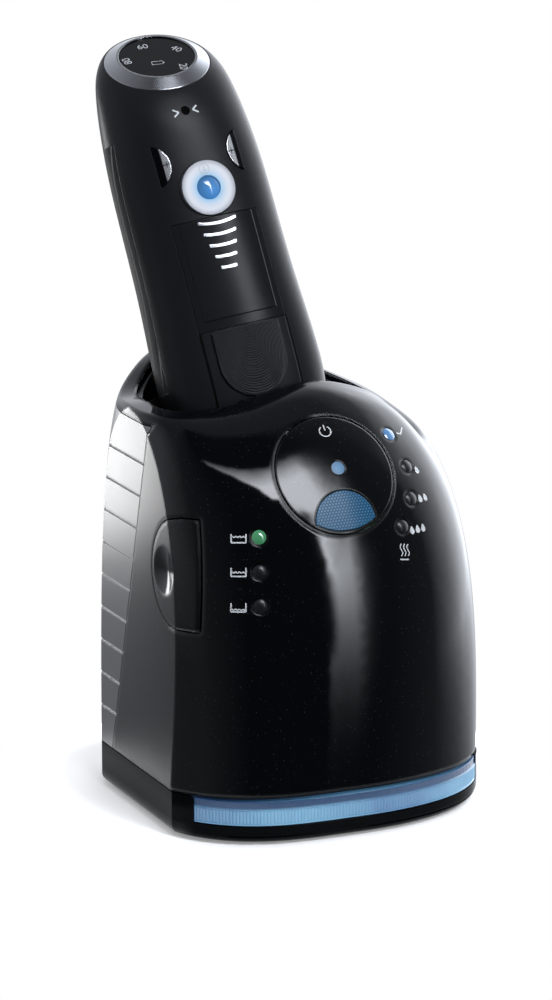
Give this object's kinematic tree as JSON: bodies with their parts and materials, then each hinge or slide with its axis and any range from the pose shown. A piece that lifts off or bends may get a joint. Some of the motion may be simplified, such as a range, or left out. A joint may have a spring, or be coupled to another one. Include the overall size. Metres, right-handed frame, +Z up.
{
  "type": "shaver cleaning station",
  "caption": "Cleaning and charging station with a lift-off housing over a fluid cartridge, and a foil shaver docked head down in its tilted bowl.",
  "frame": {"origin": "on the table, at the middle of the base's foot ring", "axes": "+X to the right seen from the front, +Y to the back, +Z up; millimetres in the source"},
  "size_m": [0.1196, 0.1416, 0.264],
  "materials": {
    "black_gloss": "polished black with fine metallic flecks",
    "black_satin": "satin black",
    "inner_plastic": "moulded dark grey",
    "bush_plastic": "natural white",
    "rubber_black": "matte",
    "grip_rubber": "matte, charcoal",
    "hose_rubber": "soft, grey",
    "steel_rod": "ground",
    "steel_zinc": "zinc plated",
    "heater_metal": "anodised",
    "foil_steel": "fine perforated foil",
    "contact_metal": "gold plated",
    "cartridge_blue": "clear blue, ribbed at the front",
    "cartridge_cap": "pale blue",
    "filter_wool": "felt",
    "blue_translucent": "translucent blue with a fine pattern inside",
    "lens_dark": "dark smoked lens, unlit",
    "board_green": "lacquered circuit board",
    "led_clear": "clear resin",
    "charcoal_satin": "satin charcoal",
    "charcoal_panel": "satin to gloss charcoal",
    "silver_paint": "silver",
    "bezel_metal": "smooth grey metallic",
    "display_black": "black display window",
    "battery_cell": "sleeved cell",
    "drive_block": "drive unit",
    "lens_green": "green lens, lit",
    "lens_blue": "blue lens, lit"
  },
  "bodies": {
    "base": {"base_tray": "black_gloss", "foot_ring": "rubber_black", "guide_rods": "steel_rod", "rod_screws": "steel_zinc", "lift_springs": "steel_rod", "cartridge_tub": "cartridge_blue", "cartridge_cover": "cartridge_cap", "cartridge_filter": "filter_wool", "latch_catch": "inner_plastic"},
    "housing": {"front_shell": "black_gloss", "rear_shell": "black_satin", "chassis_frame": "inner_plastic", "housing_screws": "steel_zinc", "guide_bushes": "bush_plastic", "power_socket": "inner_plastic", "socket_pins": "contact_metal", "level_lens_full": "lens_green", "level_lenses_low": "lens_dark", "status_lens_ready": "lens_blue", "status_lenses_cycle": "lens_dark", "display_boards": "board_green", "indicator_leds": "led_clear", "lift_hinge_pin": "steel_rod", "dock_bowl": "black_gloss", "dock_seal": "rubber_black", "drain_pipe": "inner_plastic", "heater_coil": "heater_metal", "contact_block": "inner_plastic", "contact_pins": "contact_metal", "pump_housing": "inner_plastic", "pump_motor": "steel_zinc", "suction_pipe": "inner_plastic", "pipe_seals": "rubber_black", "delivery_hose": "hose_rubber", "main_board": "board_green"},
    "pump_rotor": {"pump_impeller": "bush_plastic", "pump_shaft": "steel_rod"},
    "start_button": {"start_button": "black_gloss", "start_button_lens": "lens_blue"},
    "fast_clean_button": {"fast_clean_button": "blue_translucent"},
    "lift_button": {"lift_button": "black_gloss", "lift_hook": "inner_plastic"},
    "shaver": {"shaver_front_case": "charcoal_satin", "shaver_rear_case": "charcoal_satin", "shaver_side_grips": "grip_rubber", "shaver_front_panel": "charcoal_panel", "shaver_panel_bars": "silver_paint", "shaver_display_bezel": "bezel_metal", "shaver_display_glass": "display_black", "shaver_battery": "battery_cell", "shaver_board": "board_green", "shaver_neck_frame": "inner_plastic", "shaver_drive_motor": "drive_block"},
    "shaver_power_button": {"shaver_power_button": "silver_paint", "shaver_power_lens": "lens_blue"},
    "shaver_left_setting_button": {"shaver_left_setting_button": "silver_paint"},
    "shaver_right_setting_button": {"shaver_right_setting_button": "silver_paint"},
    "shaver_trimmer_slider": {"shaver_trimmer_slider": "charcoal_panel"},
    "shaver_head": {"shaver_head_frame": "black_satin", "shaver_foil_cassette": "foil_steel"}
  },
  "joints": [
    {"name": "housing_lift", "type": "slide", "parent": "base", "child": "housing", "axis": [0, 0, 1], "range_m": [0, 0.03], "deforming": ["lift_springs"]},
    {"name": "start_press", "type": "slide", "parent": "housing", "child": "start_button", "axis": [0, 0.8572, -0.515], "range_m": [0, 0.0012], "stiffness_N_per_m": 1500, "springref_m": -0.0008},
    {"name": "fast_clean_press", "type": "slide", "parent": "housing", "child": "fast_clean_button", "axis": [0, 0.8572, -0.515], "range_m": [0, 0.001], "stiffness_N_per_m": 1200, "springref_m": -0.0008},
    {"name": "lift_press", "type": "hinge", "parent": "housing", "child": "lift_button", "pos_m": [-0.0496, -0.0275, 0.095], "axis": [-0.0978, -0.2089, -0.973], "range_deg": [0, 3], "stiffness_Nm_per_rad": 0.4, "springref_deg": -2.86},
    {"name": "pump_spin", "type": "hinge", "parent": "housing", "child": "pump_rotor", "pos_m": [0.022, 0.006, 0.05], "axis": [0, 0, 1], "continuous": true},
    {"name": "shaver_lift", "type": "slide", "parent": "housing", "child": "shaver", "axis": [-0.108, 0.3724, 0.9218], "range_m": [0, 0.13]},
    {"name": "shaver_power_press", "type": "slide", "parent": "shaver", "child": "shaver_power_button", "axis": [0.1039, 0.9263, -0.3621], "range_m": [0, 0.0008], "stiffness_N_per_m": 1200, "springref_m": -0.0008},
    {"name": "left_setting_press", "type": "slide", "parent": "shaver", "child": "shaver_left_setting_button", "axis": [0.1039, 0.9263, -0.3621], "range_m": [0, 0.0006], "stiffness_N_per_m": 1200, "springref_m": -0.0008},
    {"name": "right_setting_press", "type": "slide", "parent": "shaver", "child": "shaver_right_setting_button", "axis": [0.1039, 0.9263, -0.3621], "range_m": [0, 0.0006], "stiffness_N_per_m": 1200, "springref_m": -0.0008},
    {"name": "trimmer_slide", "type": "slide", "parent": "shaver", "child": "shaver_trimmer_slider", "axis": [0.108, -0.3724, -0.9218], "range_m": [0, 0.008]},
    {"name": "head_pivot", "type": "hinge", "parent": "shaver", "child": "shaver_head", "pos_m": [-0.0068, 0.00969, 0.12386], "axis": [0.9887, -0.0567, 0.1387], "range_deg": [-10, 10], "stiffness_Nm_per_rad": 0.2}
  ]
}
